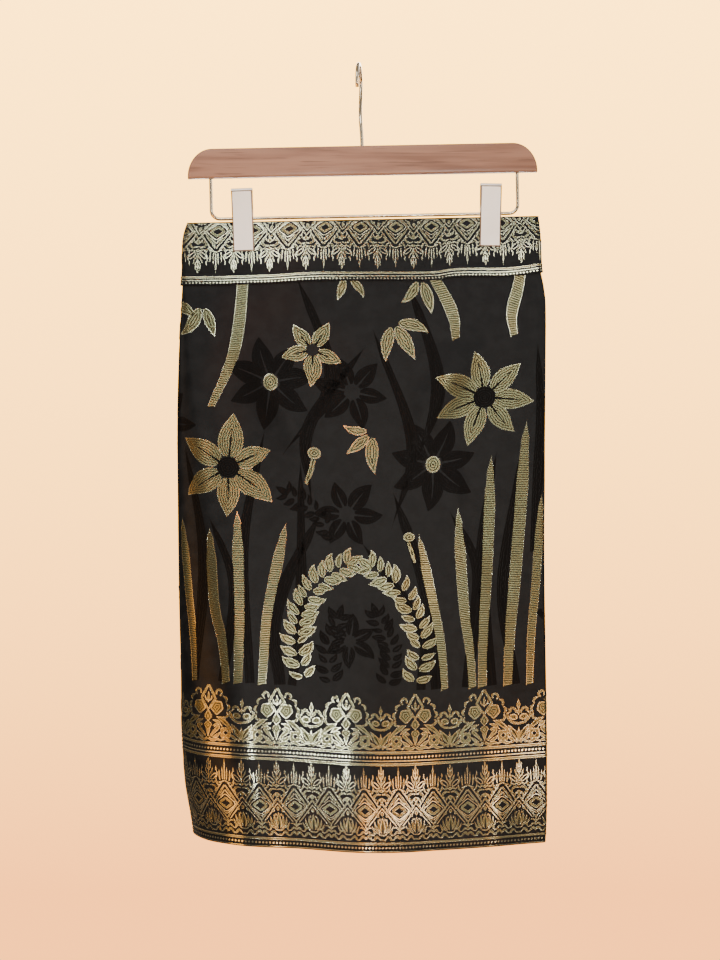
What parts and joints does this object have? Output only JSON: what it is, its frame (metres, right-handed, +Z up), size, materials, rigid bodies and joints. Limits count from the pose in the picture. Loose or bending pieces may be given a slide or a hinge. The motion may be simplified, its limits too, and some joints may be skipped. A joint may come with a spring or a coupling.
{
  "type": "pre-tied samping on a clip hanger",
  "caption": "Pre-tied samping: a black and gold brocade wrap sewn as a tube with a waistband, clipped flat to a wooden clip hanger and hanging open at the hem.",
  "frame": {"origin": "seat of the hook: the highest point of its inner side, where a rail bears", "axes": "+X to the right of someone who looks at the garment's front, along the rail; +Y to the garment's back; +Z up"},
  "size_m": [0.3815, 0.071, 0.8116],
  "materials": {
    "brocade": "charcoal satin with woven black and champagne-gold metallic pattern",
    "border_brocade": "dense champagne-gold metallic border on charcoal satin",
    "hanger_wood": "varnished mid-brown wood",
    "hanger_wire": "polished nickel-plated wire",
    "clip_plate": "satin nickel-plated sheet"
  },
  "bodies": {
    "root": {"front_panel": "brocade", "back_panel": "brocade", "waistband_front": "border_brocade", "waistband_back": "border_brocade", "hanger_bar": "hanger_wood", "hook": "hanger_wire", "clip_rod": "hanger_wire", "clip_left_front_jaw": "clip_plate", "clip_left_back_jaw": "clip_plate", "clip_left_spring": "clip_plate", "clip_right_front_jaw": "clip_plate", "clip_right_back_jaw": "clip_plate", "clip_right_spring": "clip_plate"}
  },
  "joints": []
}
